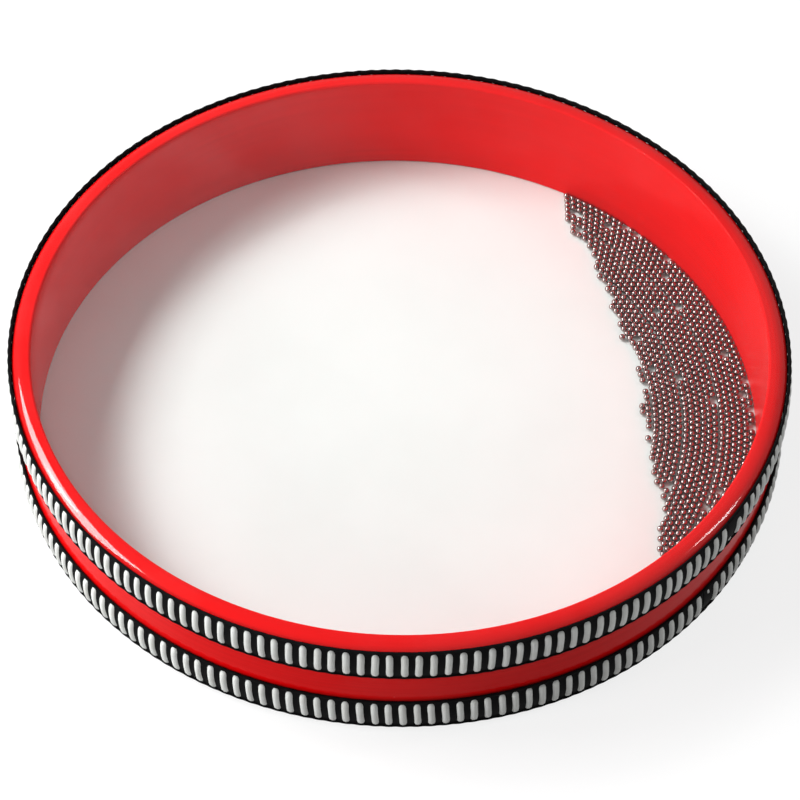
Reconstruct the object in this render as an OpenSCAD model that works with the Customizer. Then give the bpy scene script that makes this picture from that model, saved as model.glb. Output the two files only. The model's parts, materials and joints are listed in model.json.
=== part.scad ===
// Ocean drum: a shallow laminated hoop closed by a clear and a white film head,
// with loose steel shot lying between them. Each head's collar is turned over the
// hoop, stapled, and covered by a ribbed braid that is butted at a splice.
// Millimetres. The drum lies on its white head, centred on Z, and is seen from -Y.

/* [Drum] */
// Diameter over the crests of the braids
drum_d = 400; // [300:1:560]
// Height between the outer faces of the two heads
drum_h = 61.5; // [54:0.5:90]

/* [Shell] */
// Radial thickness of the laminated hoop
shell_wall = 9.6; // [8:0.2:14]
// Rounding of the bearing edges on the outside
bearing_round = 1.5; // [1:0.25:4]
// Rounding of the bearing edges towards the chamber
chamber_round = 1.5; // [0.5:0.25:3]

/* [Heads] */
// Thickness of the clear film
top_film = 0.3; // [0.2:0.05:0.5]
// Thickness of the white film
bottom_film = 0.35; // [0.2:0.05:0.5]
// Length of the collar that each film turns over the hoop
collar_drop = 16; // [14:0.5:18]

/* [Staples] */
// Number of staples around each head
staple_count = 40; // [24:1:60]
// Width of a staple's crown
staple_crown = 10; // [8:0.5:12]
// Thickness of the staple wire
staple_wire = 0.6; // [0.4:0.1:0.7]
// Length of the legs behind the crown
staple_leg = 6; // [4:0.5:7]

/* [Braids] */
// Width of each braid from edge to edge
braid_w = 21.5; // [19:0.5:23]
// Distance from a head's face to the outer edge of its braid
braid_inset = 0.1; // [0.1:0.1:3]
// Thickness of a braid at its crest
braid_t = 2.9; // [2.8:0.1:3.6]
// How far the crest of a braid stands out beyond its edges
braid_crown = 1.2; // [0.8:0.1:1.3]
// Thickness of the cord along the upper edge of a braid
top_cord_d = 2.1; // [1.6:0.1:2.8]
// Thickness of the cord along the lower edge of a braid
low_cord_d = 1.5; // [1:0.1:2]
// Distance between neighbouring ribs along the crest
rib_pitch = 6.9; // [6:0.1:9]
// Width of a rib
rib_w = 4.2; // [3.6:0.1:4.8]
// Height of a rib over the tape
rib_h = 1.3; // [1:0.1:1.4]
// Lean of the ribs, in degrees
rib_lean = 5; // [-8:0.5:8]
// Direction of the upper braid's splice, in degrees
upper_splice = -36; // [-180:1:180]
// Direction of the lower braid's splice, in degrees
lower_splice = -40; // [-180:1:180]
// Gap between a braid's two butted ends
splice_gap = 0.6; // [0.3:0.1:1.5]
// Number of ribs that are cut away where a braid is butted
cut_ribs = 1; // [0:1:3]

/* [Shot] */
// Diameter of a steel ball
ball_d = 3.5; // [3:0.1:4]
// Least gap between neighbouring balls
ball_gap = 0.12; // [0.08:0.02:0.3]
// Height of the balls over the white head, and their gap to the hoop
ball_rest = 0.3; // [0.25:0.05:0.5]
// Direction in which the pool of shot lies, in degrees
pool_az = 8; // [-180:1:180]
// Scatter of the balls along the free edge of the pool
edge_scatter = 3.2; // [0:0.2:6]

/* [Hidden] */

// Clearance where one ring lies on another
seat = 0.05;
// Clearance between a rib's flat back and the crowned tape
rib_seat = 0.1;
// Flat steps in a quarter of a rounded edge
arc_steps = 8;
// Facets of a round form where it is drawn
$fn = 96;
// Facets of a ball where it is drawn
ball_fn = 16;

crest_r = drum_d / 2;
film_over = max(top_film, bottom_film) + seat;
tape_in_r = crest_r - braid_t;
collar_out_r = tape_in_r - seat;
shell_out_r = collar_out_r - film_over;
shell_in_r = shell_out_r - shell_wall;
shell_top = drum_h - top_film - seat;
shell_bottom = bottom_film + seat;

// The crown of a braid is an arc over the width between its two edge cords
ribs_w = braid_w - top_cord_d - low_cord_d - 2 * seat;
crown_r = (pow(ribs_w / 2, 2) + pow(braid_crown, 2)) / (2 * braid_crown);
crown_axis_r = crest_r - crown_r;
rib_reach = ribs_w / 2 - rib_w / 2 * sin(abs(rib_lean));
rib_arc = 2 * asin(rib_reach / crown_r);
rib_count = floor(PI * drum_d / rib_pitch);
upper_braid_z = drum_h - braid_inset - braid_w;
lower_braid_z = braid_inset;
ribs_mid = low_cord_d + seat + ribs_w / 2;
splice_angle = splice_gap / tape_in_r * 180 / PI;

// Staples lie under the middle of each braid, in a groove of the tape's back
crown_rise = collar_out_r - sqrt(pow(collar_out_r, 2) - pow(staple_crown / 2, 2));
groove_depth = seat + staple_wire + crown_rise + seat;
groove_w = staple_wire + 4 * seat;

// Rows of shot follow the hoop. Each row nests into the one before it, until the
// rows have grown too tight, and the next row then starts afresh
ball_pitch = ball_d + ball_gap;
first_row_r = shell_in_r - ball_rest - ball_d / 2;
ball_z = bottom_film + ball_rest + ball_d / 2;
// Widest spacing in a row over the closest, where rows start afresh
stretch_share = 1.11;
// Share of the places in the pool that hold no ball
vacancy_share = 0.018;
// Half the angle that the pool covers
pool_half = 54;
// Distance of the pool's free edge from the centre, over the hoop's inner radius,
// by the angle from the pool's direction
front_shares = [
    [-54, 0.99], [-48, 0.92], [-40, 0.845], [-32, 0.785], [-24, 0.73], [-20, 0.708],
    [-16, 0.714], [-12, 0.69], [-4, 0.683], [0, 0.7], [16, 0.706], [20, 0.712],
    [24, 0.729], [28, 0.758], [36, 0.793], [40, 0.842], [48, 0.878], [52, 0.962], [54, 0.99]
];
pool_min_r = min([for (p = front_shares) p[1]]) * shell_in_r - edge_scatter;
// Rows counted inwards from the hoop at which each group of shot starts
near_outer_row = 1;
near_inner_row = 3;
mid_outer_row = 6;
mid_inner_row = 8;
front_outer_row = 11;
front_inner_row = 14;
// Two numbers that scatter what is repeated, without a pattern
scatter_turn = 127.1;
scatter_gain = 43758.5453;

// Points along an arc, from one angle to another
function arc(centre, r, from, to) = [
    for (i = [0 : arc_steps])
        let (a = from + (to - from) * i / arc_steps)
        centre + r * [cos(a), sin(a)]
];

// A number from 0 to 1 that changes without a pattern from ball to ball
function scatter(row, place) =
    let (s = sin(row * scatter_turn + place * place * scatter_turn / 3 + place) * scatter_gain)
    s - floor(s);

// Angle between neighbouring balls in a row that starts afresh
function fresh_step(r) = 2 * asin(stretch_share * ball_pitch / (2 * r));

// Radius of the row that nests into a row from inside
function nested_r(r, step) =
    r * cos(step / 2) - sqrt(pow(ball_pitch, 2) - pow(r * sin(step / 2), 2));

// All rows from one radius inwards, as radius and angle between balls
function rows_from(r, step) =
    r < pool_min_r ? []
    : let (inner = nested_r(r, step), fresh = r - ball_pitch)
    concat(
        [[r, step]],
        2 * inner * sin(step / 2) >= ball_pitch
            ? rows_from(inner, step)
            : rows_from(fresh, fresh_step(fresh))
    );

rows = rows_from(first_row_r, fresh_step(first_row_r));

// Is there a ball at this place?
function filled(row, place, r, az) =
    abs(az) < pool_half
    && r > lookup(az, front_shares) * shell_in_r + (scatter(place, row) - 1 / 2) * edge_scatter
    && scatter(row, place) > vacancy_share;

// The balls of one row, as radius and angle
function row_balls(row) =
    let (r = rows[row][0], step = rows[row][1], most = ceil(pool_half / step))
    [
        for (place = [-most : most])
            let (az = (place + (row % 2) / 2) * step)
            if (filled(row, place, r, az)) [r, az]
    ];

module shell() {
    outer_x = shell_out_r - bearing_round;
    inner_x = shell_in_r + chamber_round;
    color("#d8141a")
    rotate_extrude()
    polygon(concat(
        arc([outer_x, shell_bottom + bearing_round], bearing_round, -90, 0),
        arc([outer_x, shell_top - bearing_round], bearing_round, 0, 90),
        arc([inner_x, shell_top - chamber_round], chamber_round, 90, 180),
        arc([inner_x, shell_bottom + chamber_round], chamber_round, 180, 270)
    ));
}

// A film head with its outer face at zero and its collar turned down
module head(film) {
    inner_round = bearing_round + seat;
    round_x = shell_out_r - bearing_round;
    round_z = -film - inner_round;
    rotate_extrude()
    polygon(concat(
        [[0, 0]],
        arc([round_x, round_z], inner_round + film, 90, 0),
        [[shell_out_r + seat + film, -collar_drop], [shell_out_r + seat, -collar_drop]],
        arc([round_x, round_z], inner_round, 0, 90),
        [[0, -film]]
    ));
}

module top_head() {
    color([0.9, 0.93, 0.95, 0.35])
    translate([0, 0, drum_h])
    head(top_film);
}

module bottom_head() {
    color("#f4f2ec")
    mirror([0, 0, 1])
    head(bottom_film);
}

// One staple with its crown's back at zero and its legs pointing along -X
module staple() {
    translate([0, 0, -staple_wire / 2])
    linear_extrude(staple_wire)
    polygon([
        [staple_wire, -staple_crown / 2],
        [staple_wire, staple_crown / 2],
        [-staple_leg, staple_crown / 2],
        [-staple_leg, staple_crown / 2 - staple_wire],
        [0, staple_crown / 2 - staple_wire],
        [0, staple_wire - staple_crown / 2],
        [-staple_leg, staple_wire - staple_crown / 2],
        [-staple_leg, -staple_crown / 2]
    ]);
}

// A ring of staples over a collar of the given outer radius
module staples(collar_r, z) {
    color("#b9bcc0")
    for (i = [0 : staple_count - 1])
        rotate([0, 0, 360 / staple_count * (i + 1 / 2)])
        translate([collar_r + seat, 0, z])
        staple();
}

module top_staples() {
    staples(shell_out_r + seat + top_film, upper_braid_z + ribs_mid);
}

module bottom_staples() {
    staples(shell_out_r + seat + bottom_film, lower_braid_z + ribs_mid);
}

// A ring that starts and ends at a splice
module spliced(splice) {
    rotate([0, 0, splice + splice_angle / 2])
    rotate_extrude(angle = 360 - splice_angle)
    children();
}

// The crowned black tape of a braid, with the groove for the staples in its back
module tape(z, splice) {
    skin_r = crown_r - rib_h - rib_seat;
    reach = min(asin(ribs_w / 2 / skin_r), acos((tape_in_r - crown_axis_r) / skin_r));
    edge = skin_r * sin(reach);
    floor_r = tape_in_r + groove_depth - seat;
    color("#141414")
    translate([0, 0, z + ribs_mid])
    spliced(splice)
    polygon(concat(
        arc([crown_axis_r, 0], skin_r, -reach, reach),
        [
            [tape_in_r, edge],
            [tape_in_r, groove_w / 2],
            [floor_r, groove_w / 2],
            [floor_r, -groove_w / 2],
            [tape_in_r, -groove_w / 2],
            [tape_in_r, -edge]
        ]
    ));
}

// One rib: a cord of domed section that follows the tape's crown
module rib() {
    translate([crown_axis_r, 0, 0])
    rotate([rib_lean, 0, 0])
    rotate([90, 0, 0])
    rotate([0, 0, -rib_arc / 2])
    rotate_extrude(angle = rib_arc)
    intersection() {
        translate([crown_r - rib_w / 2, 0])
        circle(d = rib_w);
        translate([crown_r - rib_h, -rib_w / 2])
        square([rib_h, rib_w]);
    }
}

module ribs(z, splice) {
    color("#e9ece8")
    for (i = [cut_ribs : rib_count - 1])
        rotate([0, 0, splice + 360 / rib_count * (i + 1 / 2)])
        translate([0, 0, z + ribs_mid])
        rib();
}

// A cord along one edge of a braid, lying on the collar
module edge_cord(z, d, splice) {
    color("#101010")
    spliced(splice)
    translate([tape_in_r + d / 2, z])
    circle(d = d);
}

module upper_braid_tape() {
    tape(upper_braid_z, upper_splice);
}

module upper_braid_ribs() {
    ribs(upper_braid_z, upper_splice);
}

module upper_braid_top_cord() {
    edge_cord(upper_braid_z + braid_w - top_cord_d / 2, top_cord_d, upper_splice);
}

module upper_braid_low_cord() {
    edge_cord(upper_braid_z + low_cord_d / 2, low_cord_d, upper_splice);
}

module lower_braid_tape() {
    tape(lower_braid_z, lower_splice);
}

module lower_braid_ribs() {
    ribs(lower_braid_z, lower_splice);
}

module lower_braid_top_cord() {
    edge_cord(lower_braid_z + braid_w - top_cord_d / 2, top_cord_d, lower_splice);
}

module lower_braid_low_cord() {
    edge_cord(lower_braid_z + low_cord_d / 2, low_cord_d, lower_splice);
}

// The balls of the rows from one to before another
module shot(first, end) {
    color("#8d8583")
    for (row = [first : min(end, len(rows)) - 1])
        for (b = row_balls(row))
            rotate([0, 0, pool_az + b[1]])
            translate([b[0], 0, ball_z])
            sphere(d = ball_d, $fn = ball_fn);
}

module shot_wall_row() {
    shot(0, near_outer_row);
}

module shot_near_outer() {
    shot(near_outer_row, near_inner_row);
}

module shot_near_inner() {
    shot(near_inner_row, mid_outer_row);
}

module shot_mid_outer() {
    shot(mid_outer_row, mid_inner_row);
}

module shot_mid_inner() {
    shot(mid_inner_row, front_outer_row);
}

module shot_front_outer() {
    shot(front_outer_row, front_inner_row);
}

module shot_front_inner() {
    shot(front_inner_row, len(rows));
}

shell();
top_head();
bottom_head();
top_staples();
bottom_staples();
upper_braid_tape();
upper_braid_ribs();
upper_braid_top_cord();
upper_braid_low_cord();
lower_braid_tape();
lower_braid_ribs();
lower_braid_top_cord();
lower_braid_low_cord();
shot_wall_row();
shot_near_outer();
shot_near_inner();
shot_mid_outer();
shot_mid_inner();
shot_front_outer();
shot_front_inner();
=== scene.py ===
"""Ocean drum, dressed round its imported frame.

The drum is a shallow lacquered hoop closed by a clear film above and a white film
below. Loose steel shot lies between the films, and a ribbed braid covers each
film's collar. Lengths are in metres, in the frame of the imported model: the drum
lies on its white film, its axis is Z, and the player sits towards -Y.
"""

from __future__ import annotations

import json
import logging
import math
import random
from dataclasses import dataclass, field
from enum import Enum
from functools import cache
from typing import Sequence

import bmesh
import bpy
from mathutils import Matrix, Vector


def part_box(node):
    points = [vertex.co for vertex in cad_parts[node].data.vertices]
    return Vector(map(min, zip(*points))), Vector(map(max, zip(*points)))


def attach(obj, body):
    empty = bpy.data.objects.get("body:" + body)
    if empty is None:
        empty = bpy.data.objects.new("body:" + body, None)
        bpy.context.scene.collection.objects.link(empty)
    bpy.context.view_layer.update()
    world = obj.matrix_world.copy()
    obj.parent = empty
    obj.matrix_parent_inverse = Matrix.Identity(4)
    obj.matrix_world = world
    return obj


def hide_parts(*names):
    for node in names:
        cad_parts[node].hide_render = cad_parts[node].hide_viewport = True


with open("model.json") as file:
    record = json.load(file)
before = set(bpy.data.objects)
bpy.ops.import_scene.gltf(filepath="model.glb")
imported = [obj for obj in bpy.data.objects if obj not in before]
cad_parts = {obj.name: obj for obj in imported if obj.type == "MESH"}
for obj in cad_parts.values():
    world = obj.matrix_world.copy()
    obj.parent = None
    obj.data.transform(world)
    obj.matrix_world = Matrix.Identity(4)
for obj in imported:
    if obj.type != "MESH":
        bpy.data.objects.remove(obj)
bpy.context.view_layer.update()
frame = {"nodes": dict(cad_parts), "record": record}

LOG = logging.getLogger("ocean_drum")
MM = 0.001
FULL_TURN = 360.0

# Distance under which two points are taken for one
WELD = 0.001 * MM
# Parts of the noise's range that streaks and patches run over
STREAK_RANGE = (0.3, 0.7)
PATCH_RANGE = (0.35, 0.7)
# Height of a thread's wave up to which its groove reaches
GROOVE_TOP = 0.45

Point = tuple[float, float]
Pair = tuple[float, float]
Colour = tuple[float, float, float, float]


class Slot(Enum):
    """The record's material slots."""

    LACQUER = "red_lacquer"
    CLEAR_FILM = "clear_film"
    WHITE_FILM = "white_film"
    STAPLES = "staple_steel"
    BRAID = "black_braid"
    RIB = "white_rib"
    SHOT = "steel_shot"


class Face(Enum):
    """Which way a film or a braid's edge looks along the drum's axis."""

    UP = 1
    DOWN = -1


@dataclass(frozen=True)
class Span:
    """How far a node of the frame reaches.

    Attributes:
        out_r: Its outer radius.
        low: Its lowest height.
        high: Its highest height.
    """

    out_r: float
    low: float
    high: float

    @classmethod
    @cache
    def of(cls, node: str) -> Span:
        """Reads a node's reach from the frame.

        Args:
            node: Name of the node.

        Returns:
            The reach of the node about the drum's axis.
        """
        low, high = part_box(node)
        return cls(max(high.x, high.y), low.z, high.z)

    @property
    def middle(self) -> float:
        """The height halfway up."""
        return (self.low + self.high) / 2

    @property
    def height(self) -> float:
        """The distance between the lowest and the highest height."""
        return self.high - self.low


@dataclass(frozen=True)
class Sweep:
    """How a section is turned about the drum's axis.

    Attributes:
        start: Direction of the first section, in degrees.
        angle: Angle that it is turned through, in degrees.
        steps: Number of steps in that angle.
    """

    start: float = 0.0
    angle: float = FULL_TURN
    steps: int = 360


def arc(centre: Point, radius: float, start: float, end: float, steps: int = 8) -> list[Point]:
    """Lists points along an arc of a section.

    Args:
        centre: Radius and height of the arc's centre.
        radius: Radius of the arc.
        start: First angle, in degrees, where 0 points away from the drum's axis.
        end: Last angle, in degrees.
        steps: Number of steps along the arc.

    Returns:
        The points, each a radius and a height.
    """
    angles = [math.radians(start + (end - start) * i / steps) for i in range(steps + 1)]
    return [(centre[0] + radius * math.cos(a), centre[1] + radius * math.sin(a)) for a in angles]


@dataclass(frozen=True)
class EdgeForm:
    """An edge that turns a flat face into an upright side, first gently and then tightly.

    Attributes:
        crown: Radius of the gentle turn next to the flat.
        tilt: How far that turn goes, in degrees.
        corner: Radius of the tight turn beyond it.
        crown_steps: Number of steps along the gentle turn.
        corner_steps: Number of steps along the tight turn.
    """

    crown: float
    tilt: float
    corner: float
    crown_steps: int = 8
    corner_steps: int = 6

    def within(self, depth: float) -> EdgeForm:
        """Finds the edge of a surface that lies a depth within this one."""
        return EdgeForm(self.crown - depth, self.tilt, self.corner - depth)

    def points(self, out_r: float, top: float) -> list[Point]:
        """Lists the edge's points, from the flat to the side.

        Args:
            out_r: Radius of the side.
            top: Height of the flat.

        Returns:
            The points, each a radius and a height.
        """
        across, up = math.sin(math.radians(self.tilt)), math.cos(math.radians(self.tilt))
        start = out_r - self.crown * across - self.corner * (1 - across)
        lead = self.crown - self.corner
        split = 90 - self.tilt
        gentle = arc((start, top - self.crown), self.crown, 90, split, self.crown_steps)
        tight_centre = (start + lead * across, top - self.crown + lead * up)
        tight = arc(tight_centre, self.corner, split, 0, self.corner_steps)
        return gentle + tight[1:]


def turned(section: Sequence[Point], sweep: Sweep = Sweep(), closed: bool = True) -> bmesh.types.BMesh:
    """Turns a section about the drum's axis into a closed shell.

    Args:
        section: The points of the section, each a radius and a height.
        sweep: How it is turned.
        closed: Whether the last point joins the first; if not, both lie on the axis.

    Returns:
        The shell, with its faces looking outwards.
    """
    points = [*section, section[0]] if closed else list(section)
    last = len(points) - 1
    mesh = bmesh.new()
    bmesh.ops.create_grid(mesh, x_segments=sweep.steps, y_segments=last, size=1.0)
    for vert in mesh.verts:
        turn = math.radians(sweep.start + sweep.angle * (vert.co.x + 1) / 2)
        reach, height = points[round((vert.co.y + 1) / 2 * last)]
        vert.co = (reach * math.cos(turn), reach * math.sin(turn), height)
    bmesh.ops.remove_doubles(mesh, verts=mesh.verts, dist=WELD)
    if sweep.angle != FULL_TURN:
        open_edges = [edge for edge in mesh.edges if edge.is_boundary]
        bmesh.ops.holes_fill(mesh, edges=open_edges, sides=0)
    bmesh.ops.recalc_face_normals(mesh, faces=mesh.faces)
    return mesh


def lay_uv(mesh: bmesh.types.BMesh, centre: Point, along_r: float) -> None:
    """Gives a turned strip a map in millimetres: along the drum's edge, and round the section.

    Args:
        mesh: The strip.
        centre: Radius and height about which the section is measured.
        along_r: Radius at which lengths along the edge are taken.
    """

    def place(point: Vector) -> tuple[float, float, float]:
        """Finds where a point lies about the axis and in the section.

        Args:
            point: The point.

        Returns:
            Its turn about the axis, and its angle and distance about the section's centre.
        """
        reach = math.hypot(point.x, point.y) - centre[0]
        rise = point.z - centre[1]
        return math.atan2(point.y, point.x), math.atan2(rise, reach), math.hypot(reach, rise)

    def near(angle: float, other: float) -> float:
        """Finds the same angle within half a turn of another."""
        return other + math.remainder(angle - other, math.tau)

    layer = mesh.loops.layers.uv.new("Thread")
    for piece in mesh.faces:
        turn, roll, _ = place(piece.calc_center_median())
        for loop in piece.loops:
            vert_turn, vert_roll, vert_reach = place(loop.vert.co)
            along = near(vert_turn, turn) * along_r / MM
            loop[layer].uv = (along, near(vert_roll, roll) * vert_reach / MM)


def finished(mesh: bmesh.types.BMesh, name: str, sharp: float = 40.0) -> bpy.types.Object:
    """Makes a smooth shaded object of a mesh, with hard edges where it turns sharply.

    Args:
        mesh: The mesh, which is freed.
        name: Name of the object.
        sharp: Angle between faces over which an edge stays hard, in degrees.

    Returns:
        The object, linked to the scene.
    """
    limit = math.radians(sharp)
    for piece in mesh.faces:
        piece.smooth = True
    for edge in mesh.edges:
        edge.smooth = not edge.is_manifold or edge.calc_face_angle(0.0) < limit
    data = bpy.data.meshes.new(name)
    mesh.to_mesh(data)
    mesh.free()
    piece = bpy.data.objects.new(name, data)
    bpy.context.scene.collection.objects.link(piece)
    return piece


def template(mesh: bmesh.types.BMesh) -> bpy.types.Mesh:
    """Keeps a small mesh for copies.

    Args:
        mesh: The mesh, which is freed.

    Returns:
        The template.
    """
    kept = bpy.data.meshes.new("Template")
    mesh.to_mesh(kept)
    mesh.free()
    return kept


def copied(form: bpy.types.Mesh, mesh: bmesh.types.BMesh) -> list[bmesh.types.BMVert]:
    """Adds a copy of a template to a mesh.

    Args:
        form: The template.
        mesh: The mesh that grows.

    Returns:
        The vertices of the copy.
    """
    first = len(mesh.verts)
    mesh.from_mesh(form)
    mesh.verts.ensure_lookup_table()
    return mesh.verts[first:]


def dress(piece: bpy.types.Object, material: bpy.types.Material, node: str) -> None:
    """Gives a piece its finish, and puts it in a node's place on that node's body.

    Args:
        piece: The piece.
        material: Its finish.
        node: The node that it stands for.
    """
    piece.data.materials.append(material)
    body = next(b for b, members in frame["record"]["behaviour"]["bodies"].items() if node in members)
    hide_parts(node)
    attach(piece, body)
    LOG.info("%s: %d faces, on body %s", piece.name, len(piece.data.polygons), body)


class NodeBoard:
    """Adds nodes to the tree of a material or a group, and links them."""

    def __init__(self, tree: bpy.types.NodeTree) -> None:
        """Takes the tree that nodes are added to."""
        self.tree = tree

    def feed(self, socket: bpy.types.NodeSocket, value: object) -> None:
        """Links an output to a socket, or sets the socket's own value.

        Args:
            socket: The input socket.
            value: An output socket of another node, or a plain value.
        """
        if isinstance(value, bpy.types.NodeSocket):
            self.tree.links.new(value, socket)
        else:
            socket.default_value = value

    def add(self, kind: str, inputs: dict | None = None, **settings: object) -> bpy.types.Node:
        """Adds a node.

        Args:
            kind: Blender's name of the node type.
            inputs: Values or outputs for its inputs, by name or number.
            **settings: Properties of the node.

        Returns:
            The node.
        """
        node = self.tree.nodes.new(kind)
        for name, value in settings.items():
            setattr(node, name, value)
        for name, value in (inputs or {}).items():
            self.feed(node.inputs[name], value)
        return node

    def math(self, operation: str, *values: object, clamp: bool = False) -> bpy.types.NodeSocket:
        """Adds a Math node and returns its result."""
        inputs = dict(enumerate(values))
        return self.add("ShaderNodeMath", inputs, operation=operation, use_clamp=clamp).outputs[0]

    def ramp(self, value: object, low: float, high: float, to_low: float = 0.0,
             to_high: float = 1.0) -> bpy.types.NodeSocket:
        """Maps one range of a value smoothly onto another.

        Args:
            value: The value.
            low: Where the range starts.
            high: Where the range ends.
            to_low: What the start becomes.
            to_high: What the end becomes.

        Returns:
            The mapped value.
        """
        inputs = {0: value, 1: low, 2: high, 3: to_low, 4: to_high}
        return self.add("ShaderNodeMapRange", inputs, interpolation_type="SMOOTHSTEP").outputs[0]

    def from_axis(self, place: Sequence[bpy.types.NodeSocket]) -> bpy.types.NodeSocket:
        """Finds the distance from the drum's axis.

        Args:
            place: The separated coordinates.

        Returns:
            The distance.
        """
        squares = [self.math("MULTIPLY", place[i], place[i]) for i in (0, 1)]
        return self.math("SQRT", self.math("ADD", *squares))

    def blend(self, share: object, first: object, second: object) -> bpy.types.NodeSocket:
        """Mixes two colours and returns the result."""
        inputs = {0: share, 6: first, 7: second}
        return self.add("ShaderNodeMix", inputs, data_type="RGBA").outputs[2]

    def bump(self, height: object, strength: float, distance: float) -> bpy.types.NodeSocket:
        """Turns a height into a normal and returns it."""
        inputs = {"Height": height, "Strength": strength, "Distance": distance}
        return self.add("ShaderNodeBump", inputs).outputs["Normal"]

    def effect(self, group: bpy.types.NodeTree, **inputs: object) -> bpy.types.Node:
        """Places a shared effect, with its inputs given by name.

        Args:
            group: The effect's node group.
            **inputs: Values or outputs for its inputs, with _ for a space.

        Returns:
            The group's node.
        """
        node = self.add("ShaderNodeGroup", None, node_tree=group)
        for name, value in inputs.items():
            self.feed(node.inputs[name.replace("_", " ")], value)
        return node


class Effect(NodeBoard):
    """A node group with named inputs and outputs that several finishes share."""

    def __init__(self, name: str, inputs: dict[str, float | None], outputs: Sequence[str]) -> None:
        """Makes the empty group.

        Args:
            name: Name of the group.
            inputs: Default of each input, or None for a vector.
            outputs: Names of the values that it puts out.
        """
        super().__init__(bpy.data.node_groups.new(name, "ShaderNodeTree"))
        for label, value in inputs.items():
            kind = "NodeSocketVector" if value is None else "NodeSocketFloat"
            socket = self.tree.interface.new_socket(label, in_out="INPUT", socket_type=kind)
            if value is not None:
                socket.default_value = value
        for label in outputs:
            self.tree.interface.new_socket(label, in_out="OUTPUT", socket_type="NodeSocketFloat")
        self.given = self.add("NodeGroupInput").outputs
        self.result = self.add("NodeGroupOutput").inputs


def ring_grain() -> bpy.types.NodeTree:
    """Builds the grain that runs round a turned surface.

    Returns:
        A group that puts out fine streaks along the hoop and broad soft patches.
    """
    effect = Effect("Ring grain", {"Vector": None, "Fine": 900.0, "Broad": 14.0}, ["Streak", "Patch"])
    place = effect.add("ShaderNodeSeparateXYZ", {0: effect.given["Vector"]}).outputs
    outwards = effect.math("ADD", effect.from_axis(place), place[2])
    across = effect.math("MULTIPLY", outwards, effect.given["Fine"])
    slow = [effect.math("MULTIPLY", place[i], effect.given["Broad"]) for i in (0, 1)]
    drawn = effect.add("ShaderNodeCombineXYZ", {0: slow[0], 1: slow[1], 2: across}).outputs[0]
    streak = effect.add("ShaderNodeTexNoise", {"Vector": drawn, "Scale": 1.0, "Detail": 3.0})
    effect.feed(effect.result["Streak"], effect.ramp(streak.outputs[0], *STREAK_RANGE))
    spread = {"Vector": effect.given["Vector"], "Scale": effect.given["Broad"]}
    cloud = effect.add("ShaderNodeTexNoise", {**spread, "Detail": 5.0, "Roughness": 0.6})
    effect.feed(effect.result["Patch"], effect.ramp(cloud.outputs[0], *PATCH_RANGE))
    return effect.tree


def dust() -> bpy.types.NodeTree:
    """Builds stray specks of dust.

    Returns:
        A group that puts out a mask of small specks, most cells of which are empty.
    """
    effect = Effect("Dust", {"Vector": None, "Cells": 90.0, "Size": 0.05, "Share": 0.1}, ["Mask"])
    spread = {"Vector": effect.given["Vector"], "Scale": effect.given["Cells"]}
    cells = effect.add("ShaderNodeTexVoronoi", spread)
    inside = effect.math("LESS_THAN", cells.outputs["Distance"], effect.given["Size"])
    draw = effect.add("ShaderNodeSeparateXYZ", {0: cells.outputs["Color"]}).outputs[0]
    chosen = effect.math("LESS_THAN", draw, effect.given["Share"])
    effect.feed(effect.result["Mask"], effect.math("MULTIPLY", inside, chosen))
    return effect.tree


def threads() -> bpy.types.NodeTree:
    """Builds parallel threads that run aslant over a map in millimetres.

    Returns:
        A group that puts out the height of the threads and a mask of the grooves.
    """
    effect = Effect("Threads", {"Vector": None, "Pitch": 0.5, "Slant": 1.0}, ["Height", "Groove"])
    place = effect.add("ShaderNodeSeparateXYZ", {0: effect.given["Vector"]}).outputs
    aslant = effect.math("MULTIPLY", place[1], effect.given["Slant"])
    phase = effect.math("DIVIDE", effect.math("ADD", place[0], aslant), effect.given["Pitch"])
    wave = effect.math("ABSOLUTE", effect.math("SINE", effect.math("MULTIPLY", phase, math.pi)))
    effect.feed(effect.result["Height"], effect.math("SQRT", wave))
    effect.feed(effect.result["Groove"], effect.ramp(wave, 0.0, GROOVE_TOP, 1.0, 0.0))
    return effect.tree


@dataclass(frozen=True)
class Effects:
    """The effects that finishes share, each built once.

    Attributes:
        grain: Streaks and patches that run round a turned surface.
        dust: Stray specks.
        threads: Parallel threads.
    """

    grain: bpy.types.NodeTree = field(default_factory=ring_grain)
    dust: bpy.types.NodeTree = field(default_factory=dust)
    threads: bpy.types.NodeTree = field(default_factory=threads)


class Surface(NodeBoard):
    """A material with one Principled shader."""

    def __init__(self, name: str, shader: dict[str, object]) -> None:
        """Makes the material.

        Args:
            name: Name of the material.
            shader: Plain values of the shader's own sockets.
        """
        self.material = bpy.data.materials.new(name)
        self.material.use_nodes = True
        super().__init__(self.material.node_tree)
        self.tree.nodes.clear()
        self.shader = self.add("ShaderNodeBsdfPrincipled", shader)
        self.add("ShaderNodeOutputMaterial", {"Surface": self.shader.outputs[0]})
        self.place = self.add("ShaderNodeTexCoord").outputs["Object"]

    def set(self, **sockets: bpy.types.NodeSocket) -> None:
        """Feeds sockets of the shader, given by name with _ for a space."""
        for name, value in sockets.items():
            self.feed(self.shader.inputs[name.replace("_", " ")], value)


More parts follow.
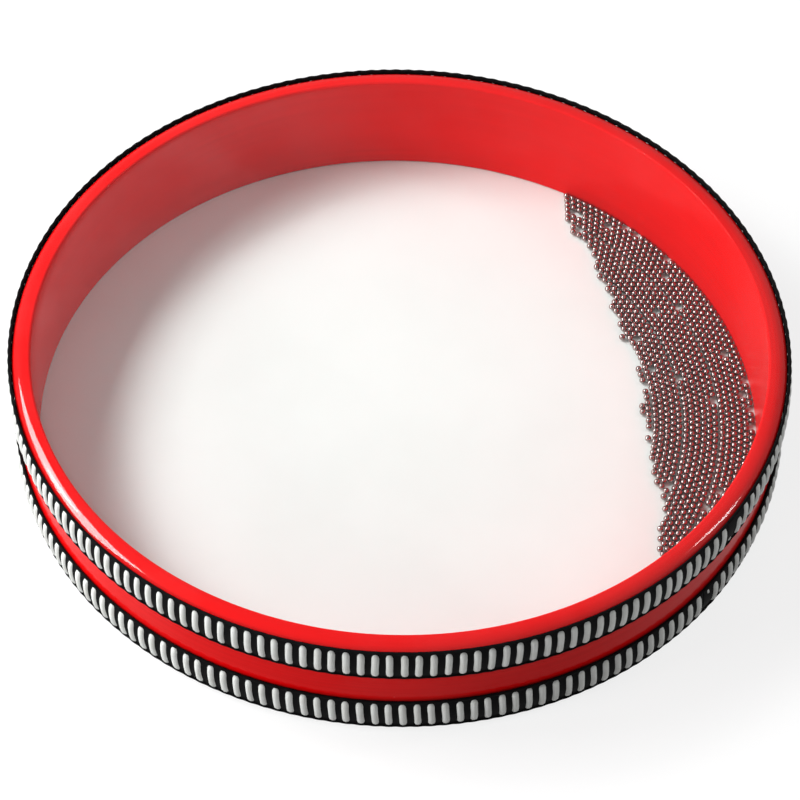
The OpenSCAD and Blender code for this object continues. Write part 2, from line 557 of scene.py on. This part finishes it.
@dataclass(frozen=True)
class Lacquer:
    """Glossy lacquer over the hoop, with the fine rings that turning leaves.

    Attributes:
        colour: The lacquer's colour.
        shade: Its colour in the fine rings.
        bloom: Colour of the faint bloom on it, and of dust.
        ring_share: Greatest share of the shade.
        bloom_share: Greatest share of the bloom.
        dust_share: Share of the bloom's colour in a speck of dust.
        roughness: Its roughness between the rings and in them.
        relief: Strength and depth of the rings.
    """

    colour: Colour = (0.79, 0.003, 0.004, 1.0)
    shade: Colour = (0.64, 0.001, 0.002, 1.0)
    bloom: Colour = (0.80, 0.09, 0.09, 1.0)
    ring_share: float = 0.35
    bloom_share: float = 0.10
    dust_share: float = 0.35
    roughness: Pair = (0.16, 0.26)
    relief: Pair = (0.12, 0.05 * MM)

    def material(self, effects: Effects) -> bpy.types.Material:
        """Builds the material.

        Args:
            effects: The shared effects.

        Returns:
            The material.
        """
        gloss = {"Specular IOR Level": 0.02, "Coat Weight": 0.05, "Coat Roughness": 0.06}
        made = Surface("Red lacquer", gloss)
        grain = made.effect(effects.grain, Vector=made.place, Fine=1100.0, Broad=9.0).outputs
        specks = made.effect(effects.dust, Vector=made.place, Cells=110.0, Size=0.05, Share=0.12).outputs
        rings = made.ramp(grain["Streak"], 0.0, 1.0, 0.0, self.ring_share)
        ringed = made.blend(rings, self.colour, self.shade)
        patches = made.ramp(grain["Patch"], 0.0, 1.0, 0.0, self.bloom_share)
        hazed = made.blend(patches, ringed, self.bloom)
        dusty = made.math("MULTIPLY", specks["Mask"], self.dust_share)
        made.set(
            Base_Color=made.blend(dusty, hazed, self.bloom),
            Roughness=made.ramp(grain["Streak"], 0.0, 1.0, *self.roughness),
            Normal=made.bump(grain["Streak"], *self.relief),
        )
        return made.material


@dataclass(frozen=True)
class ClearFilm:
    """Clear polyester film: a faint mirror that is clear from behind, with a whitish bloom that is
    painted light over the shaded left side.

    Attributes:
        tint: Colour of what it mirrors, and of its bloom.
        index: How strongly it bends light, which sets how it mirrors.
        haze_and_painted_light: Greatest share of light that its bloom scatters, the bloom being painted
            light on the left side.
        thin: Share of that where the bloom is thinnest.
        dust: Share of light that a speck of dust scatters.
        chamber: Radius up to which the bloom reaches.
        fade: Width over which it ends there.
        painted_light_right_end: How far right of the axis the painted light of the bloom has died out.
    """

    tint: Colour = (0.95, 0.96, 0.97, 1.0)
    index: float = 1.45
    haze_and_painted_light: float = 0.05
    thin: float = 0.4
    dust: float = 0.15
    chamber: float = 187.0 * MM
    fade: float = 4 * MM
    painted_light_right_end: float = 20.0 * MM

    def material(self, effects: Effects) -> bpy.types.Material:
        """Builds the material.

        Args:
            effects: The shared effects.

        Returns:
            The material.
        """
        smooth = {"Base Color": self.tint, "Roughness": 0.06, "Specular IOR Level": 0.0}
        made = Surface("Clear film", smooth)
        grain = made.effect(effects.grain, Vector=made.place, Fine=300.0, Broad=7.0).outputs
        specks = made.effect(effects.dust, Vector=made.place, Cells=60.0, Size=0.02, Share=0.06).outputs
        mirror = made.add("ShaderNodeFresnel", {"IOR": self.index}).outputs[0]
        place = made.add("ShaderNodeSeparateXYZ", {0: made.place}).outputs
        inside = made.ramp(made.from_axis(place), self.chamber - self.fade, self.chamber, 1.0, 0.0)
        # Painted light: the bloom is full on the left side and dies out right of the axis, lightening
        # the shaded left wall and white film.
        left = made.ramp(place[0], -self.chamber, self.painted_light_right_end, 1.0, 0.0)
        cloud = made.ramp(grain["Patch"], 0.0, 1.0, self.thin, 1.0)
        strength = made.math("MULTIPLY", cloud, self.haze_and_painted_light)
        bloom = made.math("MULTIPLY", made.math("MULTIPLY", inside, left), strength)
        dusty = made.math("MULTIPLY", specks["Mask"], self.dust)
        seen = made.math("ADD", made.math("ADD", mirror, bloom), dusty)
        behind = made.add("ShaderNodeNewGeometry").outputs["Backfacing"]
        made.set(
            Metallic=made.math("DIVIDE", mirror, seen),
            Alpha=made.math("MULTIPLY", seen, made.math("SUBTRACT", 1.0, behind), clamp=True),
        )
        return made.material


@dataclass(frozen=True)
class WhiteFilm:
    """Smooth white film with a satin face.

    Attributes:
        colour: The film's colour.
        cloud: Its colour in faint clouds.
        roughness: Its roughness between fine streaks and in them.
        relief: Strength and depth of the streaks.
    """

    colour: Colour = (0.850, 0.900, 0.878, 1.0)
    cloud: Colour = (0.822, 0.872, 0.848, 1.0)
    roughness: Pair = (0.34, 0.42)
    relief: Pair = (0.03, 0.02 * MM)

    def material(self, effects: Effects) -> bpy.types.Material:
        """Builds the material.

        Args:
            effects: The shared effects.

        Returns:
            The material.
        """
        made = Surface("White film", {"Specular IOR Level": 0.3})
        grain = made.effect(effects.grain, Vector=made.place, Fine=160.0, Broad=10.0).outputs
        made.set(
            Base_Color=made.blend(grain["Patch"], self.colour, self.cloud),
            Roughness=made.ramp(grain["Streak"], 0.0, 1.0, *self.roughness),
            Normal=made.bump(grain["Streak"], *self.relief),
        )
        return made.material


@dataclass(frozen=True)
class BraidThread:
    """Black woven thread of the braids' tapes and edge cords.

    Attributes:
        name: Name of the material.
        pitch: Distance between threads, in millimetres.
        slant: How far the threads run along per length across.
        colour: The thread's colour.
        painted_groove_shade: Its colour between two threads, a painted shade in the grooves.
        roughness: Its roughness in the grooves and on the threads.
        relief: Strength and depth of the threads.
    """

    name: str
    pitch: float
    slant: float
    colour: Colour = (0.005, 0.005, 0.0055, 1.0)
    painted_groove_shade: Colour = (0.001, 0.001, 0.001, 1.0)
    roughness: Pair = (0.95, 0.75)
    relief: Pair = (0.8, 0.12 * MM)

    def material(self, effects: Effects) -> bpy.types.Material:
        """Builds the material.

        Args:
            effects: The shared effects.

        Returns:
            The material.
        """
        made = Surface(self.name, {"Specular IOR Level": 0.06})
        mapped = made.add("ShaderNodeUVMap", uv_map="Thread").outputs[0]
        twist = made.effect(effects.threads, Vector=mapped, Pitch=self.pitch, Slant=self.slant).outputs
        made.set(
            # Painted shade: the grooves between the woven threads are darkened towards the groove
            # colour.
            Base_Color=made.blend(twist["Groove"], self.colour, self.painted_groove_shade),
            Roughness=made.ramp(twist["Height"], 0.0, 1.0, *self.roughness),
            Normal=made.bump(twist["Height"], *self.relief),
        )
        return made.material


@dataclass(frozen=True)
class RibThread:
    """White viscose thread wound round the ribs.

    Attributes:
        colour: The thread's colour.
        painted_groove_shade: Its colour between two threads, a painted shade in the grooves.
        soil: Its colour where it is a little soiled.
        painted_groove_shade_share: Share of that painted groove shade in a groove.
        soil_share: Greatest share of the soil.
        roughness: Its roughness in the grooves and on the threads.
        relief: Strength and depth of the threads.
    """

    colour: Colour = (0.80, 0.82, 0.80, 1.0)
    painted_groove_shade: Colour = (0.60, 0.61, 0.58, 1.0)
    soil: Colour = (0.62, 0.62, 0.57, 1.0)
    painted_groove_shade_share: float = 0.5
    soil_share: float = 0.4
    roughness: Pair = (0.6, 0.42)
    relief: Pair = (0.35, 0.08 * MM)

    def material(self, effects: Effects) -> bpy.types.Material:
        """Builds the material.

        Args:
            effects: The shared effects.

        Returns:
            The material.
        """
        made = Surface("White rib thread", {"Specular IOR Level": 0.3})
        place = made.add("ShaderNodeSeparateXYZ", {0: made.place}).outputs
        height = made.math("MULTIPLY", place[2], 1 / MM)
        upright = made.add("ShaderNodeCombineXYZ", {0: height}).outputs[0]
        wound = made.effect(effects.threads, Vector=upright, Pitch=0.42, Slant=0.0).outputs
        grain = made.effect(effects.grain, Vector=made.place, Fine=500.0, Broad=160.0).outputs
        # Painted shade: the grooves between the wound threads are darkened towards the groove colour.
        groove_shading = made.math("MULTIPLY", wound["Groove"], self.painted_groove_shade_share)
        groove_shaded = made.blend(groove_shading, self.colour, self.painted_groove_shade)
        soiled = made.math("MULTIPLY", grain["Patch"], self.soil_share)
        made.set(
            Base_Color=made.blend(soiled, groove_shaded, self.soil),
            Roughness=made.ramp(wound["Height"], 0.0, 1.0, *self.roughness),
            Normal=made.bump(wound["Height"], *self.relief),
        )
        return made.material


@dataclass(frozen=True)
class Steel:
    """Bright steel of the shot and the staples.

    Attributes:
        name: Name of the material.
        colour: The steel's colour.
        stain: Its colour where it has dulled.
        roughness: Roughness where it is bright.
        dulling: How much rougher it is where it has dulled.
    """

    name: str
    colour: Colour
    stain: Colour
    roughness: float
    dulling: float = 0.1

    def material(self, effects: Effects) -> bpy.types.Material:
        """Builds the material.

        Args:
            effects: The shared effects.

        Returns:
            The material.
        """
        made = Surface(self.name, {"Metallic": 1.0})
        grain = made.effect(effects.grain, Vector=made.place, Fine=700.0, Broad=220.0).outputs
        made.set(
            Base_Color=made.blend(grain["Patch"], self.colour, self.stain),
            Roughness=made.ramp(grain["Patch"], 0.0, 1.0, self.roughness, self.roughness + self.dulling),
        )
        return made.material


@dataclass(frozen=True)
class HoopShell:
    """The laminated hoop with its rounded bearing edges.

    Attributes:
        span: Reach of the hoop.
        wall: Radial thickness.
        upper_edge: Form of the edge that carries the clear film.
        lower_edge: Form of the edge that carries the white film.
        inner_round: Rounding of the edges towards the chamber.
    """

    span: Span
    wall: float = 9.6 * MM
    upper_edge: EdgeForm = EdgeForm(crown=10.15 * MM, tilt=38.0, corner=1.15 * MM)
    lower_edge: EdgeForm = EdgeForm(crown=1.5 * MM, tilt=45.0, corner=1.5 * MM)
    inner_round: float = 1.5 * MM

    def section(self) -> list[Point]:
        """Lists the points of the hoop's closed section.

        Returns:
            The points, each a radius and a height.
        """
        in_x = self.span.out_r - self.wall + self.inner_round
        low, high = self.span.low, self.span.high
        return (
            [(r, low - z) for r, z in self.lower_edge.points(self.span.out_r, 0.0)]
            + self.upper_edge.points(self.span.out_r, high)[::-1]
            + arc((in_x, high - self.inner_round), self.inner_round, 90, 180)
            + arc((in_x, low + self.inner_round), self.inner_round, 180, 270)
        )

    def build(self, lacquer: bpy.types.Material) -> None:
        """Makes the hoop in the given lacquer."""
        dress(finished(turned(self.section()), "hoop_shell"), lacquer, "shell")


@dataclass(frozen=True)
class FilmHead:
    """A film drawn over the hoop, with its collar turned along the hoop's outside.

    Attributes:
        node: The node that it stands for.
        face: Which way it looks.
        film: Thickness of the film.
        edge: Form of its outside over the bearing edge.
        ring_shares: Radii at which its flat is divided, as shares of the flat's radius.
    """

    node: str
    face: Face
    film: float
    edge: EdgeForm
    ring_shares: tuple[float, ...] = (0.15, 0.35, 0.55, 0.72, 0.86, 0.96)

    def section(self) -> list[Point]:
        """Lists the section's points, from the axis over the collar and back to it.

        Returns:
            The points, each a radius and a height.
        """
        span = Span.of(self.node)
        over = self.edge.points(span.out_r, 0.0)
        under = self.edge.within(self.film).points(span.out_r - self.film, -self.film)
        flat = [(share * over[0][0], 0.0) for share in self.ring_shares]
        points = (
            [(0.0, 0.0), *flat]
            + over
            + [(span.out_r, -span.height), (span.out_r - self.film, -span.height)]
            + under[::-1]
            + [(r, -self.film) for r, _ in reversed(flat)]
            + [(0.0, -self.film)]
        )
        outside = span.high if self.face is Face.UP else span.low
        return [(r, outside + self.face.value * depth) for r, depth in points]

    def build(self, name: str, material: bpy.types.Material, slot: Slot) -> None:
        """Makes the film.

        Args:
            name: Name of the piece.
            material: Its finish.
            slot: The record's slot of that finish; not used.
        """
        dress(finished(turned(self.section(), closed=False), name), material, self.node)


@dataclass(frozen=True)
class RibForm:
    """The form of one rib of a braid.

    Attributes:
        width: Greatest width.
        height: How far it stands over the tape.
        bed: How deep its back lies in the tape.
        lean: How far it leans along the drum's edge over its length.
        bow: How far it is bowed along the edge, one way above its middle and the other below.
        turn_in: How far its ends turn in towards the hoop.
        lengths: Least and greatest length, as shares of a whole one.
        swells: Least and greatest factor for its width and height.
        stray: How far it may stand off its place, as a share of the pitch.
        sway: How far its ends may lean besides.
        stations: Shares of the half length and of the width, from the lower end up.
    """

    width: float = 3.75 * MM
    height: float = 1.3 * MM
    bed: float = 0.4 * MM
    lean: float = -0.3 * MM
    bow: float = 0.1 * MM
    turn_in: float = 0.55 * MM
    lengths: Pair = (0.975, 1.0)
    swells: Pair = (0.94, 1.03)
    stray: float = 0.03
    sway: float = 0.12 * MM
    stations: tuple[Point, ...] = (
        (-1.0, 0.0), (-0.97, 0.55), (-0.88, 0.90), (-0.72, 1.0), (-0.38, 0.95), (0.0, 0.92),
        (0.38, 0.94), (0.72, 0.98), (0.88, 0.86), (0.97, 0.52), (1.0, 0.0),
    )


@dataclass(frozen=True)
class Stub:
    """What is left of the rib that was cut away at a splice.

    Attributes:
        height: Height of its middle, as a share of half the ribs' height.
        length: Its length, as a share of the ribs' height.
        swell: Factor for its width and height over the tape.
        along: Its distance from the splice, as a share of the pitch.
    """

    height: float = -0.72
    length: float = 0.14
    swell: float = 0.4
    along: float = 0.55


@dataclass(frozen=True)
class Braid:
    """A braid butted at a splice: black tape, white ribs and two black edge cords.

    Attributes:
        prefix: Start of the braid's node names.
        splice: Direction of its splice, in degrees.
        seed: Start of the random draws for its ribs.
        short: Length of the rib beside the splice, as a share of a whole one.
        stub: The stub of the cut rib.
        pitch: Distance between ribs along the crest.
        gap: Gap between its butted ends.
        cut_ribs: Number of ribs cut away at the splice.
        crown: How far its crest stands out beyond its edges.
        back: Depth of the tape's back under the crest.
        rib: Form of its ribs.
        cords: For each edge cord, the shares of its thickness between the ribs and beside one.
        tuck: How far the tape's edges reach under the cords.
        sag: How far the ribs sit under the middle of their place.
        map_depth: How far within the tape's back its map of threads is centred.
        skin_steps: Number of faces across the tape.
        tape_steps: Number of faces along the tape.
        round_steps: Number of faces round an edge cord.
        steps_per_rib: Number of faces along an edge cord for each rib.
    """

    prefix: str
    splice: float
    seed: int
    short: float = 0.66
    stub: Stub = Stub()
    pitch: float = 6.9 * MM
    gap: float = 0.6 * MM
    cut_ribs: int = 1
    crown: float = 1.2 * MM
    back: float = 2.9 * MM
    rib: RibForm = RibForm()
    cords: tuple[tuple[str, float, float], ...] = (("top_cord", 0.70, 0.82), ("low_cord", 0.62, 0.82))
    tuck: float = 0.8 * MM
    sag: float = 0.4 * MM
    map_depth: float = 20 * MM
    skin_steps: int = 14
    tape_steps: int = 720
    round_steps: int = 8
    steps_per_rib: int = 8

    @property
    def ribs(self) -> Span:
        """Reach of the ribs."""
        return Span.of(f"{self.prefix}_ribs")

    @property
    def rib_count(self) -> int:
        """Number of pitches round the drum."""
        return int(math.pi * 2 * self.ribs.out_r / self.pitch)

    @property
    def back_r(self) -> float:
        """Radius of the tape's back."""
        return self.ribs.out_r - self.back

    def turn_at(self, pitches: float) -> float:
        """Finds the direction a number of pitches past the splice, in radians."""
        return math.radians(self.splice + FULL_TURN / self.rib_count * pitches)

    def sweep(self, steps: int) -> Sweep:
        """Turns from one side of the splice to the other in a number of steps."""
        gap = math.degrees(self.gap / self.back_r)
        return Sweep(self.splice + gap / 2, FULL_TURN - gap, steps)

    def skin_r(self, height: float) -> float:
        """Finds the radius of the tape's crowned face.

        Args:
            height: Height over the middle of the ribs.

        Returns:
            The radius there.
        """
        half = self.ribs.height / 2
        crown_r = (half**2 + self.crown**2) / (2 * self.crown)
        skin = crown_r - self.rib.height
        reach = min(abs(height), half)
        return self.ribs.out_r - crown_r + math.sqrt(skin**2 - reach**2)

    def build_tape(self, material: bpy.types.Material) -> None:
        """Makes the crowned tape.

        Args:
            material: Its finish.
        """
        span = Span.of(f"{self.prefix}_tape")
        low, high = span.low - self.tuck, span.high + self.tuck
        heights = [low + (high - low) * i / self.skin_steps for i in range(self.skin_steps + 1)]
        middle = self.ribs.middle
        skin = [(self.skin_r(z - middle), z) for z in heights]
        mesh = turned([(self.back_r, low), *skin, (self.back_r, high)], self.sweep(self.tape_steps))
        lay_uv(mesh, (self.back_r - self.map_depth, middle), self.ribs.out_r)
        dress(finished(mesh, f"{self.prefix}_woven_tape"), material, f"{self.prefix}_tape")

    def build_cord(self, edge: str, least: float, most: float, material: bpy.types.Material) -> None:
        """Makes an edge cord, which swells a little at each rib.

        Args:
            edge: Which edge, as in the node's name.
            least: Share of its thickness between ribs.
            most: Share of its thickness beside a rib.
            material: Its finish.
        """
        node = f"{self.prefix}_{edge}"
        span = Span.of(node)
        radius = span.height / 2
        centre = (self.back_r + radius, span.middle)
        count = self.rib_count
        section = arc(centre, radius, 0, FULL_TURN * (1 - 1 / self.round_steps), self.round_steps - 1)
        mesh = turned(section, self.sweep(count * self.steps_per_rib))
        for vert in mesh.verts:
            turn = math.atan2(vert.co.y, vert.co.x)
            phase = (math.degrees(turn) - self.splice) / FULL_TURN * count
            swell = most - (most - least) * math.cos(math.pi * phase) ** 2
            out = Vector((math.cos(turn), math.sin(turn), 0))
            core = out * centre[0] + Vector((0, 0, centre[1]))
            down_and_in = -radius * (out + Vector((0, 0, 1)))
            vert.co = core + (vert.co - core) * swell + down_and_in * (1 - swell)
        lay_uv(mesh, centre, centre[0])
        dress(finished(mesh, f"{self.prefix}_woven_{edge}"), material, node)

    def shape_rib(self, verts: Sequence[bmesh.types.BMVert], turn: float, centre: float, half: float,
                  lean: float, swell: float) -> None:
        """Shapes a ball of vertices into a rib in its place.

        Args:
            verts: Vertices of a unit ball whose poles lie on Z.
            turn: Direction of the rib, in radians.
            centre: Height of its middle.
            half: Half its length.
            lean: Offset of its upper end along the edge.
            swell: Factor for its width and height.
        """
        form = self.rib
        rings = sorted({round(vert.co.z, 4) for vert in verts})
        out = Vector((math.cos(turn), math.sin(turn), 0))
        side = Vector((-math.sin(turn), math.cos(turn), 0))
        for vert in verts:
            share, width = form.stations[rings.index(round(vert.co.z, 4))]
            flat = math.hypot(vert.co.x, vert.co.y)
            cosine, sine = (vert.co.x / flat, vert.co.y / flat) if flat > WELD else (0.0, 0.0)
            depth = form.height if cosine > 0 else form.bed
            height = centre + share * half
            turned_in = form.turn_in * abs(share) ** 5
            reach = self.skin_r(height - self.ribs.middle) + depth * cosine * width * swell - turned_in
            bowed = form.bow * math.sin(math.pi * share)
            along = form.width / 2 * width * swell * sine + lean * share + bowed
            vert.co = out * reach + side * along + Vector((0, 0, height))

    def build_ribs(self, material: bpy.types.Material) -> None:
        """Makes the ribs, with a short one and a stub beside the splice.

        Args:
            material: Their finish.
        """
        draw = random.Random(self.seed)
        form, stub, middle = self.rib, self.stub, self.ribs.middle
        half = self.ribs.height / 2
        ball = bmesh.new()
        bmesh.ops.create_uvsphere(ball, u_segments=8, v_segments=len(form.stations) - 1, radius=1.0)
        unit = template(ball)
        mesh = bmesh.new()
        for i in range(self.cut_ribs, self.rib_count):
            share = self.short if i == self.cut_ribs else draw.uniform(*form.lengths)
            turn = self.turn_at(i + 0.5 + draw.uniform(-form.stray, form.stray))
            lean = form.lean / 2 + draw.uniform(-form.sway, form.sway)
            swell = draw.uniform(*form.swells)
            drop = half * (1 - share) / 2 + self.sag
            self.shape_rib(copied(unit, mesh), turn, middle - drop, half * share, lean, swell)
        turn, centre = self.turn_at(stub.along), middle + stub.height * half
        self.shape_rib(copied(unit, mesh), turn, centre, half * stub.length, 0.0, stub.swell)
        bpy.data.meshes.remove(unit)
        bmesh.ops.recalc_face_normals(mesh, faces=mesh.faces)
        piece = finished(mesh, f"{self.prefix}_wound_ribs", sharp=80.0)
        dress(piece, material, f"{self.prefix}_ribs")

    def build(self, woven: bpy.types.Material, twisted: bpy.types.Material,
              wound: bpy.types.Material) -> None:
        """Makes the whole braid.

        Args:
            woven: Finish of its tape.
            twisted: Finish of its edge cords.
            wound: Finish of its ribs.
        """
        self.build_tape(woven)
        for edge, least, most in self.cords:
            self.build_cord(edge, least, most, twisted)
        self.build_ribs(wound)


@dataclass(frozen=True)
class Staples:
    """The staples under the braids, which keep the frame's own meshes.

    Attributes:
        nodes: The nodes that hold them.
    """

    nodes: tuple[str, ...] = ("top_staples", "bottom_staples")

    def finish(self, wire: bpy.types.Material) -> None:
        """Gives the staples their finish.

        Args:
            wire: The finish.
        """
        for node in self.nodes:
            frame["nodes"][node].material_slots[0].material = wire
            LOG.info("%s: the frame's own mesh", node)


@dataclass(frozen=True)
class Shot:
    """The loose steel balls between the films, in the frame's groups.

    Attributes:
        nodes: The nodes that hold the balls.
        detail: Number of times a ball's faces are divided.
    """

    nodes: tuple[str, ...]
    detail: int = 2

    def centres(self, node: str) -> list[Vector]:
        """Finds the balls of a node by their highest points.

        Args:
            node: Name of the node.

        Returns:
            The centres of its balls.
        """
        span = Span.of(node)
        verts = frame["nodes"][node].data.vertices
        tops = {(round(v.co.x, 6), round(v.co.y, 6)) for v in verts if span.high - v.co.z < WELD}
        return [Vector((x, y, span.middle)) for x, y in sorted(tops)]

    def build(self, material: bpy.types.Material) -> None:
        """Makes one piece of balls for each node.

        Args:
            material: Their finish.
        """
        for node in self.nodes:
            ball = bmesh.new()
            bmesh.ops.create_icosphere(ball, subdivisions=self.detail, radius=Span.of(node).height / 2)
            form = template(ball)
            mesh = bmesh.new()
            for centre in self.centres(node):
                for vert in copied(form, mesh):
                    vert.co += centre
            bpy.data.meshes.remove(form)
            dress(finished(mesh, f"{node}_balls", sharp=80.0), material, node)


@dataclass(frozen=True)
class Lamp:
    """A soft lamp aimed at the drum.

    Attributes:
        name: Name of the lamp.
        azimuth: Direction that it stands in, in degrees.
        elevation: How high it stands, in degrees.
        distance: How far it stands from the drum.
        width: Width of its face.
        rise: Height of its face.
        power: Its power, in watts.
    """

    name: str
    azimuth: float
    elevation: float
    distance: float
    width: float
    rise: float
    power: float

    def build(self) -> None:
        """Makes the lamp."""
        light = bpy.data.lights.new(self.name, "AREA")
        light.shape = "RECTANGLE"
        light.size = self.width
        light.size_y = self.rise
        light.energy = self.power
        lamp = bpy.data.objects.new(self.name, light)
        bpy.context.scene.collection.objects.link(lamp)
        turn, lift = math.radians(self.azimuth), math.radians(self.elevation)
        away = Vector((math.cos(turn) * math.cos(lift), math.sin(turn) * math.cos(lift), math.sin(lift)))
        lamp.location = away * self.distance
        lamp.rotation_euler = away.to_track_quat("Z", "Y").to_euler()


@dataclass(frozen=True)
class Studio:
    """A pale floor, plain soft light and the camera of the photograph.

    Attributes:
        ambient: Strength of the light from all round.
        backdrop: How light the surroundings look.
        floor_width: Width of the floor.
        floor_pale: How light the floor looks.
        floor_bounce: How light the floor is for the light that it throws back.
        floor_glow: Light that the floor adds where it is looked at.
        lamps: The soft lamps.
        lens: Focal length, in millimetres.
        elevation: Height of the camera over the drum, in degrees.
        distance: Distance of the camera from the middle of the white film.
        roll: Turn of the camera about its own axis, in degrees.
        shift: Shift of the picture, as shares of its width.
    """

    ambient: float = 0.30
    backdrop: float = 0.36
    floor_width: float = 30.0
    floor_pale: float = 0.24
    floor_bounce: float = 0.42
    floor_glow: float = 0.78
    lamps: tuple[Lamp, ...] = (
        Lamp("Main left softbox", 165.0, 45.0, 1.6, 1.05, 0.55, 26.0),
        Lamp("Left spot", 163.0, 45.0, 1.6, 0.22, 0.22, 3.0),
        Lamp("Low left softbox", -155.0, 18.0, 1.6, 0.5, 0.5, 12.5),
        Lamp("Right spot", 9.0, 44.0, 1.6, 0.14, 0.4, 2.3),
    )
    lens: float = 126.0
    elevation: float = 49.55
    distance: float = 1.4698
    roll: float = 1.23
    shift: Point = (0.002, 0.016)

    def build_world(self) -> None:
        """Makes the surroundings: pale where they are looked at, weaker as light."""
        world = bpy.data.worlds.new("Studio surroundings")
        world.use_nodes = True
        world.node_tree.nodes.clear()
        board = NodeBoard(world.node_tree)
        strength = board.ramp(self.looked_at(board), 0.0, 1.0, self.ambient, self.backdrop)
        sky = board.add("ShaderNodeBackground", {"Color": (1, 1, 1, 1), "Strength": strength})
        board.add("ShaderNodeOutputWorld", {"Surface": sky.outputs[0]})
        bpy.context.scene.world = world

    @staticmethod
    def looked_at(board: NodeBoard) -> bpy.types.NodeSocket:
        """Finds whether a ray comes from the eye or a mirror.

        Args:
            board: The tree that asks.

        Returns:
            1 for a camera, glossy or transmission ray, and 0 for others.
        """
        path = board.add("ShaderNodeLightPath").outputs
        glossy = board.math("MAXIMUM", path["Is Glossy Ray"], path["Is Transmission Ray"])
        return board.math("MAXIMUM", path["Is Camera Ray"], glossy)

    def build_floor(self) -> None:
        """Makes the floor, which keeps the drum's shadow."""
        matt = {"Roughness": 0.9, "Specular IOR Level": 0.0, "Emission Color": (1, 1, 1, 1)}
        made = Surface("Pale floor", matt)
        seen = self.looked_at(made)
        pale = [(share,) * 3 + (1.0,) for share in (self.floor_bounce, self.floor_pale)]
        made.set(
            Base_Color=made.blend(seen, pale[0], pale[1]),
            Emission_Strength=made.math("MULTIPLY", seen, self.floor_glow),
        )
        mesh = bmesh.new()
        bmesh.ops.create_grid(mesh, x_segments=1, y_segments=1, size=self.floor_width / 2)
        floor = finished(mesh, "floor")
        floor.data.materials.append(made.material)

    def build_camera(self) -> None:
        """Makes the camera at the photograph's viewing angle."""
        data = bpy.data.cameras.new("Camera")
        data.lens = self.lens
        data.shift_x, data.shift_y = self.shift
        camera = bpy.data.objects.new("Camera", data)
        bpy.context.scene.collection.objects.link(camera)
        rise = math.radians(self.elevation)
        back = Vector((0, -math.cos(rise), math.sin(rise)))
        level = Matrix((Vector((1, 0, 0)), back.cross(Vector((1, 0, 0))), back)).transposed()
        turn = level @ Matrix.Rotation(math.radians(self.roll), 3, "Z")
        camera.matrix_world = Matrix.Translation(back * self.distance) @ turn.to_4x4()
        bpy.context.scene.camera = camera

    def build(self) -> None:
        """Makes the whole studio."""
        self.build_camera()
        self.build_world()
        self.build_floor()
        for lamp in self.lamps:
            lamp.build()
        bpy.context.scene.view_settings.view_transform = "Standard"
        LOG.info("studio: %d lamps", len(self.lamps))


def main() -> None:
    """Builds the drum piece by piece, then the studio."""
    logging.basicConfig(level=logging.INFO, format="%(name)s: %(message)s")
    effects = Effects()
    HoopShell(Span.of("shell")).build(Lacquer().material(effects))
    clear_edge = EdgeForm(crown=10.5 * MM, tilt=38.0, corner=1.5 * MM)
    clear = FilmHead("top_head", Face.UP, film=0.3 * MM, edge=clear_edge)
    clear.build("clear_film_head", ClearFilm().material(effects), Slot.CLEAR_FILM)
    white_edge = EdgeForm(crown=1.9 * MM, tilt=45.0, corner=1.9 * MM)
    white = FilmHead("bottom_head", Face.DOWN, film=0.35 * MM, edge=white_edge)
    white.build("white_film_head", WhiteFilm().material(effects), Slot.WHITE_FILM)
    woven = BraidThread("Woven tape", pitch=0.9, slant=0.6).material(effects)
    twisted = BraidThread("Twisted edge cord", pitch=0.8, slant=0.9).material(effects)
    wound = RibThread().material(effects)
    upper = Braid("upper_braid", splice=-36.0, seed=11)
    leant = RibForm(lean=-0.6 * MM, bow=-0.1 * MM)
    lower = Braid("lower_braid", splice=-40.0, seed=12, short=0.85, stub=Stub(height=0.6), rib=leant)
    for braid in (upper, lower):
        braid.build(woven, twisted, wound)
    wire = Steel("Staple wire", (0.60, 0.60, 0.62, 1.0), (0.48, 0.48, 0.50, 1.0), 0.3)
    Staples().finish(wire.material(effects))
    steel = Steel("Steel shot", (0.40, 0.33, 0.32, 1.0), (0.32, 0.265, 0.255, 1.0), 0.15)
    groups = tuple(node for node in sorted(frame["nodes"]) if node.startswith("shot_"))
    Shot(groups).build(steel.material(effects))
    Studio().build()


if __name__ == "__main__":
    main()
